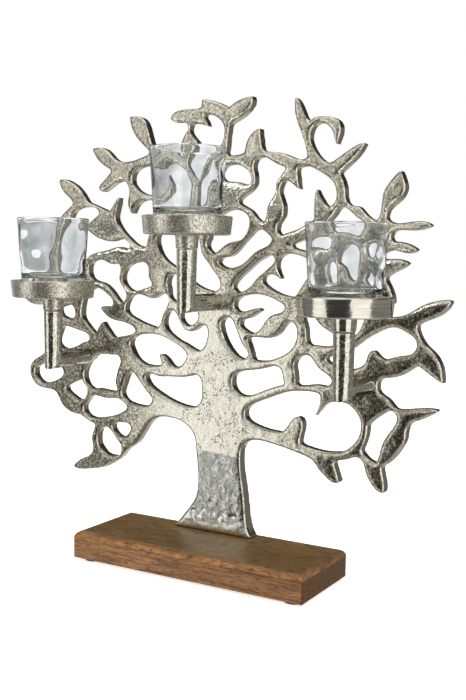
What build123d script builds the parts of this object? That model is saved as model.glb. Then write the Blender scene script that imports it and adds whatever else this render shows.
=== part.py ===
from build123d import *
import os

# A table-top candle holder: a flat cast-aluminium tree of life on a mango-wood base.
# Three L-shaped arms are screwed to the front of the tree. Each carries a shallow cast
# dish, and a clear votive glass stands loose in each dish.
#
# Frame: the origin is on the floor under the middle of the base. +X runs along the base,
# +Y to the back and +Z up. Everything is in millimetres.

# ---- driving dimensions -------------------------------------------------------------

# wooden base
BASE_LENGTH = 240.0
BASE_DEPTH = 90.0
BASE_HEIGHT = 25.5
BASE_TOP_ROUND = 7.0
BASE_EDGE_BREAK = 1.0

# feet under the base
FOOT_RADIUS = 9.0
FOOT_HEIGHT = 3.0
FOOT_ROUND = 0.8
FOOT_X = 106.0
FOOT_Y = 31.0

# tree casting
TREE_X = -9.0            # middle of the trunk's foot along the base
TREE_FRONT_Y = 23.0      # the flat front face of the casting
TREE_THICKNESS = 11.0    # crown
TREE_FOOT_THICKNESS = 14.5
TREE_TAPER_HEIGHT = 95.0  # above this the casting has its crown thickness
TREE_CLEAR_HEIGHT = 450.0

# arms
ARM_SPACING = 152.0      # from the middle arm to each side arm
ARM_REACH = 49.0         # front of the tree to the axis of the upright post
ARM_TUBE_RADIUS = 8.0
ARM_POST_TOP_RADIUS = 9.2
ARM_POST_FOOT_RADIUS = 8.7
ARM_REAR_THREAD_DEPTH = 17.0
ARM_TOP_THREAD_DEPTH = 13.0

# dishes
DISH_TOP_RADIUS = 40.25
DISH_FOOT_RADIUS = 38.5
DISH_HEIGHT = 16.5
DISH_RECESS_RADIUS = 32.0
DISH_RECESS_DEPTH = 6.0
DISH_EDGE_ROUND = 1.2
BOSS_TOP_RADIUS = 10.6
BOSS_FOOT_RADIUS = 9.6
BOSS_HEIGHT = 12.5
BOSS_THREAD_DEPTH = 13.0
DISH_RISE = 77.0         # axis of the horizontal tube to the dish's top face

# the dishes' top faces above the wood's top
LEFT_DISH_TOP = 234.5
CENTRE_DISH_TOP = 295.0
RIGHT_DISH_TOP = 230.0

# votive glasses
GLASS_FOOT_RADIUS = 29.5
GLASS_RIM_RADIUS = 34.0
GLASS_HEIGHT = 65.0
GLASS_WALL = 2.6
GLASS_FLOOR = 8.0
GLASS_FOOT_ROUND = 2.5
GLASS_INNER_ROUND = 5.0
GLASS_RIM_ROUND = 1.2

# fasteners: M6 studs and base screws, M5 arm screws
M6_RADIUS = 2.95
M6_THREAD_RADIUS = 3.0
M6_CLEARANCE_RADIUS = 3.2
M5_RADIUS = 2.45
M5_THREAD_RADIUS = 2.5
M5_CLEARANCE_RADIUS = 2.6
STUD_LENGTH = 24.0
STUD_CHAMFER = 0.5
ARM_SCREW_HEAD_RADIUS = 4.5
ARM_SCREW_HEAD_HEIGHT = 3.2
ARM_SCREW_SOCKET_RADIUS = 1.7
ARM_SCREW_SOCKET_DEPTH = 1.8
ARM_SCREW_GRIP = 15.0    # length of the shank inside the arm
ARM_WASHER_RADIUS = 5.5
ARM_WASHER_THICKNESS = 1.0
BASE_SCREW_OFFSET = 22.0  # from the middle of the trunk's foot
BASE_SCREW_SETBACK = 7.25  # behind the front face of the tree
BASE_SCREW_HEAD_RADIUS = 5.0
BASE_SCREW_HEAD_HEIGHT = 4.0
BASE_SCREW_SOCKET_RADIUS = 2.9
BASE_SCREW_SOCKET_DEPTH = 2.2
BASE_SCREW_ENGAGEMENT = 17.0
BASE_WASHER_RADIUS = 7.5
BASE_WASHER_THICKNESS = 1.5
COUNTERBORE_RADIUS = 8.0
COUNTERBORE_DEPTH = 8.0
TREE_THREAD_DEPTH = 18.0

# ---- derived positions --------------------------------------------------------------

BASE_BOTTOM = FOOT_HEIGHT
BASE_TOP = BASE_BOTTOM + BASE_HEIGHT
POST_Y = TREE_FRONT_Y - ARM_REACH
POST_TOP_ABOVE_TUBE = DISH_RISE - DISH_HEIGHT - BOSS_HEIGHT
BASE_SCREW_Y = TREE_FRONT_Y + BASE_SCREW_SETBACK
ARMS = {
    "left": (TREE_X - ARM_SPACING, BASE_TOP + LEFT_DISH_TOP - DISH_RISE),
    "centre": (TREE_X, BASE_TOP + CENTRE_DISH_TOP - DISH_RISE),
    "right": (TREE_X + ARM_SPACING, BASE_TOP + RIGHT_DISH_TOP - DISH_RISE),
}

# ---- the tree's silhouette ----------------------------------------------------------
#
# Points are (across, up) in the plane of the casting, measured from the middle of the
# trunk's foot on top of the wood. The rim is a chain of smooth stretches, clockwise from
# the front left corner of the foot. Each stretch starts where the one before it ends,
# and every end is a sharp corner: a leaf's tip, or the notch where two boughs meet.

TREE_RIM = [
    [(-42.5, 0), (-36, 8.5), (-28, 19), (-20, 31), (-17.5, 44.5), (-18, 60.5), (-20, 76.5),
     (-22.5, 90), (-31, 99), (-43, 103.5), (-55, 104.5), (-64, 103.5), (-72, 99), (-78, 91.5),
     (-83, 84), (-90, 75), (-99, 69), (-104.5, 64), (-110, 58), (-117, 53.5), (-128, 47),
     (-141.5, 43), (-156, 40.5), (-166, 40.5), (-169.5, 42.5)],
    [(-165, 47.5), (-157, 52.5), (-148.5, 56.5), (-144, 63.5), (-145.5, 73.5), (-143.5, 82),
     (-141, 88.5)],
    [(-149, 91), (-159.5, 96.5)],
    [(-168, 97), (-177, 100), (-184, 105), (-188.5, 112), (-193, 117.5), (-200, 119.5),
     (-210, 120), (-218, 122.5), (-224, 128), (-227.5, 136.5), (-226, 144.5), (-220, 150.5),
     (-210, 156), (-203.5, 164.5), (-200, 174.5), (-198.5, 185.5), (-199.5, 196.5),
     (-204, 206.5)],
    [(-211, 207), (-220, 206.5), (-228, 208.5), (-235, 213.5), (-240, 219.5)],
    [(-230, 225.5), (-216, 230)],
    [(-205, 240.5), (-200, 258.5), (-194.5, 277.5), (-188, 294.5), (-180, 302.5), (-170, 310)],
    [(-174, 315), (-182, 321.5), (-186.5, 328.5), (-188, 334)],
    [(-181, 334.5), (-173, 331.5), (-164, 326), (-158, 319.5), (-152, 311.5)],
    [(-139, 307), (-125.5, 302)],
    [(-121, 306.5), (-117, 312.5), (-112.5, 316)],
    [(-113, 311.5), (-115, 303.5), (-116.5, 296), (-113, 288.5), (-107, 281.5), (-100, 275.5),
     (-92, 270), (-85, 268), (-79.5, 268.5)],
    [(-78, 276.5), (-73, 285.5), (-64, 292), (-51, 295.5), (-39, 297.5), (-32.5, 302.5),
     (-30.5, 312.5), (-30.5, 324.5), (-35, 333.5), (-43, 341), (-52, 345.5), (-63, 347),
     (-77, 345.5), (-88, 343.5), (-95.5, 338), (-97, 331), (-92.5, 324), (-84, 319),
     (-74, 317.5), (-66, 319.5), (-61, 324.5), (-59, 331.5), (-58, 339)],
    [(-53, 332.5), (-50, 325), (-51, 317.5), (-58, 313), (-69, 311.5), (-79, 312.5),
     (-86, 311.5), (-90.5, 308.5), (-95, 302)],
    [(-96.5, 298.5)],
    [(-100.5, 304), (-102, 312), (-100.5, 320.5), (-102.5, 327), (-105.5, 331)],
    [(-113, 331), (-121, 327.5), (-129, 322.5), (-134, 321.5), (-137.5, 325), (-134, 330),
     (-128, 335.5), (-122, 341.5)],
    [(-129, 345), (-137, 350.5), (-142.5, 357), (-146, 363.5)],
    [(-139, 364.5), (-131, 363), (-124, 358), (-118, 352.5), (-112, 350), (-103, 349.5),
     (-94, 351), (-85, 353.5), (-76, 356.5)],
    [(-84, 364), (-92, 371.5), (-97, 379), (-100, 387.5), (-100.5, 392.5)],
    [(-92, 392), (-85.5, 390), (-81, 385), (-78, 377.5), (-75.5, 369.5), (-72, 362)],
    [(-61, 360.5), (-50, 356.5), (-41, 351), (-35.5, 347.5)],
    [(-39.5, 353.5), (-41.5, 361.5), (-40, 367.5), (-36.5, 373), (-33.5, 378.5), (-36.5, 383),
     (-44, 384), (-50.5, 385), (-53.5, 388)],
    [(-49.5, 393), (-43, 395), (-33, 395.5), (-24, 395.5), (-19.5, 396)],
    [(-19, 403.5)],
    [(-11, 402.5), (-1, 399.5), (9.5, 394)],
    [(16, 398.5), (24, 401.5), (34.5, 403)],
    [(35.5, 398.5), (32, 392), (25.5, 386.5), (18, 382.5), (12, 379.5)],
    [(10.5, 371.5), (9.5, 361.5), (8, 352)],
    [(18, 351.5), (27, 353.5)],
    [(28.5, 361), (32.5, 368.5), (38, 373), (43, 374.5)],
    [(44, 366.5), (46, 354.5)],
    [(56, 353), (66, 351.5), (75, 348), (84, 345.5), (90, 347.5)],
    [(88, 356.5), (84, 367.5), (79, 379), (76.5, 389.5), (77, 399.5)],
    [(81.5, 395), (86, 386), (91, 377.5)],
    [(96, 381), (105, 381.5), (114, 380), (120, 376), (122, 370), (120.5, 363), (117.5, 355.5)],
    [(115.5, 362), (112, 370.5), (105.5, 375.5), (99, 375.5), (94, 370), (93, 363), (96, 355),
     (102, 347), (108, 342.5), (114, 342.5)],
    [(120, 346.5), (129, 352), (137.5, 356.5), (144.5, 357.5)],
    [(141, 351), (134.5, 343.5), (127.5, 337.5), (121.5, 332.5)],
    [(125, 327), (127.5, 317.5), (129, 308.5), (133, 305), (139, 304.5), (145, 299),
     (150.5, 294.5), (155.5, 292)],
    [(158.5, 296.5), (160, 304.5), (161.5, 316), (166, 323.5), (171.5, 330), (176.5, 334)],
    [(180, 326.5), (181.5, 319.5), (179, 312), (172, 305.5), (167, 300.5), (166, 293)],
    [(176, 290), (188, 291.5), (198, 291.5), (205, 288)],
    [(197, 285), (187, 284), (178, 284.5), (171.5, 282.5), (170, 278.5), (172, 275)],
    [(179, 274.5), (186, 272.5), (193, 268.5)],
    [(190, 266), (182, 265.5), (173, 267.5), (165, 265.5), (162, 263), (165.5, 260)],
    [(174, 260.5), (181, 259.5), (186, 257)],
    [(181, 253), (174, 249.5), (166, 244)],
    [(170.5, 236.5), (173.5, 228.5), (174, 222.5)],
    [(167, 220.5), (163, 215.5)],
    [(169, 211.5), (175.5, 212), (184, 214), (192, 218.5), (201, 223.5), (212, 227),
     (224, 227.5)],
    [(219, 218.5), (209, 212), (201.5, 209), (195.5, 205.5)],
    [(198.5, 196.5), (203, 190), (211, 183), (217, 174), (219, 165), (219, 158.5)],
    [(212, 162), (205, 166.5), (196.5, 172)],
    [(190, 167.5), (182, 162.5), (172, 160), (164.5, 158), (162, 153), (164, 146.5),
     (170.5, 142.5), (175.5, 138), (179, 134)],
    [(187.5, 134.5), (197, 136), (207, 137), (216.5, 136.5)],
    [(208, 130.5), (199, 126), (192, 122.5), (189.5, 116.5), (188.5, 108.5), (185, 101),
     (180, 93.5), (174, 87), (168.5, 83.5)],
    [(169, 76.5), (171, 68), (170, 60)],
    [(163, 62), (157, 68.5), (153, 75.5), (150.5, 83.5), (144.5, 88.5), (137, 86), (129, 84),
     (123, 82)],
    [(126, 73.5), (129, 64.5)],
    [(121, 63.5), (115, 67.5), (108, 73.5), (102.5, 80), (95.5, 83.5), (86, 86), (74, 89),
     (60, 91.5), (47, 93), (37, 91), (31, 85.5), (29, 75.5), (29.5, 62.5), (32, 47.5),
     (34, 33.5), (35.5, 18.5), (38, 8.5), (43, 0)],
]

# The gaps between the boughs, leaves and tendrils. A gap given as one stretch is a
# smooth closed loop. In the others the first point and the end of every stretch are
# sharp corners, and the last stretch runs on round to the first point.

TREE_GAPS = [
    # large gap, left, in the upper crown
    [
        [(-172, 297.5), (-168.5, 302.5), (-161, 306), (-149, 306.5), (-141, 305), (-137, 299.5)],
        [(-144.5, 294.5), (-155.5, 286.5)],
        [(-147, 280.5), (-139, 276), (-130, 273.5), (-120, 273), (-109, 275.5), (-101.5, 272),
         (-98.5, 267.5)],
        [(-104, 266), (-112, 267.5), (-124, 265), (-136, 262.5), (-146, 260), (-154, 254),
         (-157.5, 244.5), (-161, 233.5), (-170, 228), (-181, 231.5), (-187, 242.5),
         (-186.5, 259.5), (-182, 277.5), (-176, 290.5)],
    ],
    # medium gap, left, in the middle of the crown
    [[(-112, 250), (-110.5, 245.5), (-112, 237), (-109, 230), (-103.5, 222), (-104.5, 216.5),
      (-109.5, 213), (-115, 217), (-122, 224.5), (-130, 230.5), (-139, 233), (-147, 236.5),
      (-149.5, 244.5), (-147, 251.5), (-140, 254.5), (-130, 253.5), (-120, 250.5)]],
    # large gap, left, at the height of the side arms
    [
        [(-135, 206.5), (-131.5, 202.5), (-125.5, 198), (-118.5, 195.5), (-108, 194),
         (-100, 192), (-94, 189), (-92, 186), (-95, 183.5), (-103, 181), (-111, 179.5),
         (-118.5, 177.5)],
        [(-125, 184), (-132.5, 193.5)],
        [(-136, 189.5), (-140.5, 180)],
        [(-146, 183.5), (-153, 190), (-158, 196.5), (-158, 206.5), (-155.5, 215.5),
         (-149, 223.5), (-140, 226.5), (-132, 224), (-125, 219.5), (-120, 214.5), (-120, 210.5),
         (-124, 209)],
    ],
    # small gap, far left, at the height of the side arms
    [[(-187, 205.5), (-179, 207.5), (-170.5, 207.5), (-168, 203.5), (-168, 196.5), (-173, 194.5),
      (-181, 195.5), (-187, 199.5)]],
    # medium gap, far left, at the height of the side arms
    [[(-181, 187), (-171.5, 185), (-163, 183), (-155, 181), (-149.5, 177.5), (-149.5, 174),
      (-156, 171.5), (-163, 168), (-173, 164.5), (-184, 164), (-190, 168.5), (-188, 178.5)]],
    # medium gap, left, in the lower crown
    [[(-114.5, 124.5), (-126, 124.5), (-138, 125.5), (-147, 125.5), (-152, 129.5), (-155, 137.5),
      (-152.5, 146), (-146.5, 154), (-140, 159), (-131, 160.5), (-119, 160.5), (-112, 159.5),
      (-110, 155.5), (-112.5, 148.5), (-115, 139.5), (-115.5, 131.5)]],
    # medium gap, far left, in the lower crown
    [[(-220.5, 138.5), (-218, 130.5), (-210, 126), (-199, 127.5), (-189, 131.5), (-182.5, 138),
      (-185, 143.5), (-196, 146), (-211, 145.5)]],
    # medium gap, far left, near the lowest boughs
    [
        [(-180, 124), (-170, 129.5), (-158.5, 133)],
        [(-154.5, 127.5), (-151.5, 123), (-152.5, 118), (-156, 113.5), (-162.5, 112),
         (-170.5, 115.5), (-177, 119.5)],
    ],
    # large gap, left, near the lowest boughs
    [[(-101.5, 108.5), (-108, 104.5), (-120, 99.5), (-133, 96.5), (-145, 95.5), (-153, 99),
      (-155.5, 104), (-152, 111), (-146, 117.5), (-137, 117.5), (-124, 116.5), (-112, 117),
      (-105.5, 113.5)]],
    # medium gap, left, near the lowest boughs
    [[(-117.5, 92), (-119, 87.5), (-115.5, 82.5), (-109.5, 79.5), (-103, 81), (-98.5, 85.5),
      (-97, 90), (-100, 93.5), (-109, 93.5)]],
    # medium gap, left, near the lowest boughs
    [[(-137.5, 75.5), (-136, 82), (-132, 87), (-127.5, 87.5), (-121, 84), (-115.5, 77.5),
      (-109.5, 71.5), (-108.5, 66), (-111, 61), (-119, 59), (-128, 60), (-134, 64.5), (-137, 70)]],
    # medium gap, left, near the lowest boughs
    [[(-95, 146), (-90, 141), (-83, 133), (-75.5, 125.5), (-71.5, 120), (-74, 115.5), (-83, 113),
      (-94, 114), (-103, 117), (-107.5, 123.5), (-105, 132), (-101.5, 141)]],
    # large gap, left of the trunk, in the lower crown
    [[(-79, 141), (-74, 134), (-64, 128), (-53, 123), (-42, 119.5), (-31, 117.5), (-21, 118.5),
      (-16, 123), (-14.5, 131.5), (-15, 141.5), (-19, 147.5), (-27, 146.5), (-39, 144.5),
      (-53, 144), (-67, 144), (-76, 145)]],
    # large gap, left of the trunk, in the lower crown
    [
        [(-59.5, 155), (-62, 160.5), (-63.5, 165.5)],
        [(-57.5, 163.5), (-52.5, 159), (-49, 155)],
        [(-43, 154), (-37.5, 156.5), (-33.5, 161.5), (-32, 166.5), (-36, 171.5), (-44, 176),
         (-53, 180), (-62, 183), (-73, 184), (-84, 183), (-92, 181), (-97.5, 174.5),
         (-95.5, 167), (-91, 160.5), (-84, 155.5), (-73, 153.5)],
    ],
    # large gap, left of the trunk, at the height of the side arms
    [[(-104, 207.5), (-101.5, 215), (-96, 221), (-89, 222), (-81, 220.5), (-73.5, 218.5),
      (-67, 220.5), (-60, 224), (-54.5, 222), (-53.5, 216), (-57, 208.5), (-60.5, 201.5),
      (-62.5, 195), (-65, 191.5), (-74, 192), (-85, 195), (-95, 199), (-102, 203)]],
    # medium gap, left, in the middle of the crown
    [[(-73, 230.5), (-81, 228), (-88, 226), (-96, 225), (-103, 228.5), (-107, 233.5),
      (-107.5, 239.5), (-104.5, 246), (-98, 251), (-89, 253), (-81.5, 252.5), (-78, 249.5),
      (-77, 242), (-75, 235.5)]],
    # large gap, left of the trunk, in the upper crown
    [[(-67.5, 274.5), (-65.5, 266.5), (-61, 259), (-53, 252.5), (-44, 248), (-35, 242.5),
      (-27, 236), (-19, 231.5), (-10, 228.5), (-1, 228), (3.5, 231.5), (3, 238), (-3, 245.5),
      (-10, 254), (-16.5, 262), (-19, 271.5), (-23, 281.5), (-33, 287), (-46, 287.5), (-59, 284)]],
    # small gap, left of the trunk, in the middle of the crown
    [[(-54, 230.5), (-53.5, 238.5), (-49.5, 243), (-43, 240), (-37.5, 234.5), (-34.5, 227),
      (-35.5, 220.5), (-40, 217), (-46, 216.5), (-52, 220.5)]],
    # large gap, left of the trunk, at the height of the side arms
    [[(-58, 196), (-56, 203), (-50, 208.5), (-45, 206), (-41.5, 200), (-37.5, 193.5),
      (-32.5, 189.5), (-27, 189), (-21.5, 191.5), (-16.5, 195), (-11.5, 195.5), (-9, 190.5),
      (-9.5, 183), (-12.5, 175.5), (-18.5, 171.5), (-26, 173), (-33, 176.5), (-41, 179.5),
      (-49, 184), (-55.5, 189.5)]],
    # small gap, left of the trunk, at the height of the side arms
    [[(-39, 202.5), (-37, 197.5), (-32, 194.5), (-25.5, 195.5), (-20.5, 200), (-19.5, 206),
      (-24, 209.5), (-32, 210.5), (-37.5, 208)]],
    # medium gap, above the trunk, in the upper crown
    [[(-9.5, 274.5), (-9.5, 266.5), (-4, 263), (3, 266.5), (9, 271), (16, 273.5), (24, 275),
      (30, 280.5), (33, 288), (31.5, 297), (24, 301.5), (15, 302.5), (6, 299.5), (-3, 292.5),
      (-8, 283.5)]],
    # medium gap, above the trunk, at the top
    [[(2.5, 346), (2, 338), (-3, 329), (-5.5, 320.5), (-8.5, 312), (-14.5, 305.5), (-20, 303.5),
      (-22.5, 308.5), (-22.5, 317.5), (-19.5, 326.5), (-13.5, 335), (-5.5, 342)]],
    # medium gap, above the trunk, at the top
    [
        [(-31, 344.5), (-29.5, 338.5), (-25, 333.5), (-20, 332.5), (-16.5, 336), (-13, 343.5),
         (-8.5, 350.5), (-2, 357), (3, 362.5), (5.5, 370.5), (4.5, 379), (-0.5, 385), (-8, 389),
         (-18.5, 389.5)],
        [(-14, 384.5), (-11.5, 378.5)],
        [(-17.5, 380.5), (-24, 382), (-29.5, 381.5), (-31.5, 376.5), (-27.5, 369.5),
         (-22.5, 364.5)],
        [(-25, 359), (-28.5, 352.5)],
    ],
    # medium gap, above the trunk, at the top
    [[(3, 335.5), (7, 341.5), (15, 343.5), (23, 342), (30, 338), (34.5, 330.5), (33.5, 325.5),
      (27, 325.5), (20, 327.5), (13, 328), (6, 329.5)]],
    # large gap, right of the trunk, at the top
    [
        [(48, 291), (50.5, 296.5), (52, 305.5), (56, 312), (59.5, 318), (60, 325), (64, 331.5),
         (69.5, 339)],
        [(61, 342), (54.5, 345.5), (47.5, 349), (40.5, 347.5), (37.5, 342.5), (39, 333.5),
         (39, 325.5), (34, 319), (27, 314.5), (21, 309.5)],
        [(28, 305.5), (35, 301.5), (40.5, 295.5)],
    ],
    # large gap, right, in the upper crown
    [
        [(97.5, 293), (97.5, 303.5), (98, 313.5), (100, 320)],
        [(103, 314.5), (107, 308.5), (111.5, 304.5), (116.5, 307.5), (118.5, 315), (116.5, 323),
         (110.5, 329.5), (102, 334.5), (93, 339), (86, 339.5), (81, 337.5)],
        [(82, 329.5), (83.5, 319.5)],
        [(78, 323), (73.5, 326.5), (69, 328), (65.5, 323.5), (64.5, 317.5), (67, 310.5),
         (69, 303.5), (67.5, 295.5), (63.5, 289.5), (62.5, 283.5), (65.5, 280), (71, 281.5),
         (78, 283.5), (86, 287)],
    ],
    # medium gap, right, in the upper crown
    [[(76.5, 271.5), (86, 275), (97, 278), (107, 278.5), (113, 274.5), (110, 268.5),
      (101, 265.5), (88, 266.5)]],
    # large gap, right of the trunk, in the middle of the crown
    [
        [(68.5, 238.5), (63.5, 242.5), (57, 245), (51, 243.5), (48.5, 239), (52, 234.5),
         (60, 230), (70, 226.5), (81, 225.5)],
        [(86, 232.5), (92, 241.5), (96.5, 249.5), (95.5, 256.5), (89, 260.5), (80, 263),
         (71, 263), (64.5, 258.5), (63, 251.5), (65.5, 244.5)],
    ],
    # large gap, right of the trunk, in the upper crown
    [[(2, 255.5), (5.5, 259), (13, 260), (20.5, 264.5), (27, 272), (34, 278.5), (40.5, 284),
      (46, 284.5), (52, 281), (56.5, 275.5), (54, 271.5), (46, 267.5), (38, 263), (30.5, 256),
      (21.5, 251), (12.5, 249.5), (5, 251.5)]],
    # medium gap, right of the trunk, in the middle of the crown
    [[(18.5, 234), (24, 240.5), (33, 248), (42, 255.5), (50, 260), (57, 262), (60, 258),
      (55.5, 251.5), (48.5, 246), (41.5, 240), (36, 233.5), (29, 229), (22, 228)]],
    # large gap, right of the trunk, at the height of the side arms
    [[(46.5, 213.5), (37, 212.5), (28, 210), (21.5, 211.5), (19.5, 216.5), (24, 222.5),
      (32, 225.5), (43, 226.5), (54, 225), (64, 221), (71, 215.5), (68, 211.5), (60, 209),
      (53.5, 204.5), (49, 198), (44.5, 193), (38, 191), (31, 193.5), (26, 198.5), (28, 202.5),
      (33.5, 204), (40, 207)]],
    # medium gap, above the trunk, at the height of the side arms
    [[(6, 195.5), (9, 203), (14, 204.5), (19, 199.5), (24, 189), (29.5, 179), (34.5, 171),
      (32, 167.5), (24.5, 168), (17.5, 173.5), (12, 181), (8, 188.5)]],
    # large gap, right of the trunk, at the height of the side arms
    [
        [(33.5, 186), (45, 187.5), (57, 187.5), (65, 191), (71, 198.5), (77, 203), (82.5, 199.5),
         (84, 192), (81.5, 183), (75, 175.5), (66, 170.5), (55, 167), (40.5, 166.5)],
        [(38.5, 173.5)],
    ],
    # large gap, right of the trunk, in the lower crown
    [[(71, 146), (62, 143.5), (52, 139.5), (43, 135.5), (34, 133), (26, 134), (21, 138.5),
      (19, 145.5), (21.5, 152), (29, 155.5), (42, 157.5), (55, 160.5), (65, 162), (69, 159.5),
      (71, 152.5)]],
    # large gap, right, near the lowest boughs
    [
        [(107.5, 140.5), (108, 134.5), (106, 127.5), (103, 119.5)],
        [(108, 126), (114.5, 132.5), (123, 135), (133, 134.5), (141, 129.5), (146, 122),
         (147, 114), (145, 106), (139.5, 98.5), (131, 92.5), (121, 90.5), (109, 90.5), (99, 92),
         (90, 94)],
        [(91, 102.5), (92.5, 112), (90, 117.5), (85.5, 118.5), (79, 113), (68.5, 103)],
        [(60, 103.5), (51, 105), (42, 107.5), (35.5, 111), (33, 116.5), (37, 123.5), (45, 128),
         (56, 132.5), (67, 137), (78, 140.5), (90, 142), (101, 142)],
    ],
    # medium gap, right, in the lower crown
    [[(84.5, 149.5), (83.5, 158.5), (83, 167), (87.5, 172.5), (96, 174), (101, 169.5),
      (106.5, 163), (114, 158.5), (118.5, 153), (115.5, 149), (105, 149)]],
    # medium gap, right, at the height of the side arms
    [[(98, 183.5), (107, 183), (117, 184), (123, 187.5), (119, 194), (111, 198.5),
      (105.5, 202.5), (100.5, 209), (96, 216.5), (90.5, 215.5), (90.5, 206.5), (93.5, 196.5)]],
    # small gap, right, at the height of the side arms
    [[(129, 196.5), (136, 193.5), (142, 197), (146.5, 206.5), (149, 216.5), (143, 222.5),
      (134, 219.5), (128.5, 208.5)]],
    # large gap, far right, at the height of the side arms
    [[(113.5, 172.5), (120, 176.5), (130, 179), (140, 184.5), (149, 191.5), (159, 197.5),
      (169, 202), (178, 202.5), (186, 199), (193, 194.5), (195, 189), (191, 182), (183, 179.5),
      (174, 177.5), (166.5, 175.5), (161.5, 178.5), (156.5, 182.5), (152.5, 180), (149.5, 171.5),
      (141, 166), (130, 164.5), (120, 168)]],
    # medium gap, far right, near the lowest boughs
    [
        [(149, 95), (152, 102.5), (154, 110.5), (154.5, 118)],
        [(161, 124), (168, 129), (175, 132), (179.5, 127.5), (178, 120.5), (173, 113),
         (168.5, 106), (165.5, 96.5), (162, 85.5)],
        [(155, 88.5)],
    ],
    # medium gap, right, in the upper crown
    [[(119.5, 255.5), (125, 265), (132.5, 271), (139.5, 268), (143.5, 258.5), (141.5, 248),
      (136, 241), (130.5, 244), (124, 250.5)]],
    # small gap, right, in the middle of the crown
    [[(110.5, 250.5), (112, 255.5), (116, 254.5), (120, 248), (120, 241), (115, 240.5),
      (111.5, 244.5)]],
    # small gap, right, in the middle of the crown
    [[(103, 233.5), (106, 238.5), (111.5, 237.5), (113.5, 232), (109, 228), (104.5, 229)]],
    # small gap, far right, in the upper crown
    [[(149, 267.5), (153.5, 272.5), (160, 271.5), (162.5, 266), (159, 261), (152, 261.5)]],
    # small gap, far right, in the middle of the crown
    [[(151, 246.5), (155, 250.5), (159.5, 245.5), (161, 237.5), (157, 233), (153, 237.5)]],
    # medium gap, right, in the upper crown
    [[(126.5, 304), (133, 299.5), (139, 294.5), (146.5, 288.5), (145, 282.5), (136, 280),
      (125, 282), (115, 283), (112, 288.5), (117, 296)]],
]


# ---- helpers ------------------------------------------------------------------------

def save(shape, node):
    """Write one named piece as a STEP file."""
    export_step(shape, f"parts/{node}.step")


def upright(radius, height, foot, top_radius=None):
    """A rod or cone standing on the point foot."""
    align = (Align.CENTER, Align.CENTER, Align.MIN)
    if top_radius is None:
        rod = Cylinder(radius, height, align=align)
    else:
        rod = Cone(radius, top_radius, height, align=align)
    return Pos(*foot) * rod


def level(radius, length, front):
    """A rod that runs towards the back from the point front."""
    rod = Cylinder(radius, length, align=(Align.CENTER, Align.CENTER, Align.MIN))
    return Pos(*front) * Rot(-90, 0, 0) * rod


def ring(outer_radius, inner_radius, thickness):
    """A flat washer that lies on Z = 0."""
    washer = upright(outer_radius, thickness, (0, 0, 0))
    return washer - upright(inner_radius, thickness, (0, 0, 0))


def tree_point(point):
    """A silhouette point in space, on the front face of the casting."""
    across, up = point
    return Vector(TREE_X + across, TREE_FRONT_Y, BASE_TOP + up)


def smooth_edge(points):
    """A straight edge through two points, or a smooth curve through more."""
    if len(points) == 2:
        return Edge.make_line(*points)
    return Edge.make_spline(points)


# ---- wooden base and feet -----------------------------------------------------------

def wooden_base():
    """Solid block with a rounded top edge and two counterbored screw holes."""
    align = (Align.CENTER, Align.CENTER, Align.MIN)
    block = Pos(0, 0, BASE_BOTTOM) * Box(BASE_LENGTH, BASE_DEPTH, BASE_HEIGHT, align=align)
    block = fillet(block.faces().sort_by(Axis.Z)[-1].edges(), BASE_TOP_ROUND)
    block = chamfer(block.faces().sort_by(Axis.Z)[0].edges(), BASE_EDGE_BREAK)
    for x in base_screw_positions():
        hole_foot = (x, BASE_SCREW_Y, BASE_BOTTOM)
        block -= upright(M6_CLEARANCE_RADIUS, BASE_HEIGHT, hole_foot)
        block -= upright(COUNTERBORE_RADIUS, COUNTERBORE_DEPTH, hole_foot)
    return block


def base_screw_positions():
    """Where the two base screws stand along X."""
    return (TREE_X - BASE_SCREW_OFFSET, TREE_X + BASE_SCREW_OFFSET)


def foot(x, y):
    """Round rubber foot glued to the wood's underside."""
    pad = upright(FOOT_RADIUS, FOOT_HEIGHT, (x, y, 0))
    return fillet(pad.edges().sort_by(Axis.Z)[0], FOOT_ROUND)


# ---- tree casting -------------------------------------------------------------------

def rim_wire():
    """The outside of the silhouette, closed by the straight foot line."""
    edges = []
    start = tree_point(TREE_RIM[0][0])
    end = start
    for number, stretch in enumerate(TREE_RIM):
        points = [tree_point(point) for point in stretch]
        if number > 0:
            points = [end] + points
        edges.append(smooth_edge(points))
        end = points[-1]
    edges.append(Edge.make_line(end, start))
    return Wire(edges)


def gap_wire(stretches):
    """One gap between the boughs, as a closed wire."""
    first = tree_point(stretches[0][0])
    if len(stretches) == 1:
        loop = [tree_point(point) for point in stretches[0]]
        return Wire([Edge.make_spline(loop, periodic=True)])
    edges = []
    end = None
    for number, stretch in enumerate(stretches):
        points = [tree_point(point) for point in stretch]
        if number > 0:
            points = [end] + points
        if number == len(stretches) - 1:
            points = points + [first]
        edges.append(smooth_edge(points))
        end = points[-1]
    return Wire(edges)


def side_profile():
    """The casting's thickness, thicker at the foot, as a slab that spans the whole tree."""
    back = TREE_FRONT_Y + TREE_THICKNESS
    foot_back = TREE_FRONT_Y + TREE_FOOT_THICKNESS
    top = BASE_TOP + TREE_CLEAR_HEIGHT
    outline = Wire.make_polygon([
        Vector(0, TREE_FRONT_Y, BASE_TOP),
        Vector(0, foot_back, BASE_TOP),
        Vector(0, back, BASE_TOP + TREE_TAPER_HEIGHT),
        Vector(0, back, top),
        Vector(0, TREE_FRONT_Y, top),
    ])
    return extrude(Face(outline), amount=TREE_CLEAR_HEIGHT, dir=(1, 0, 0), both=True)


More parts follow.
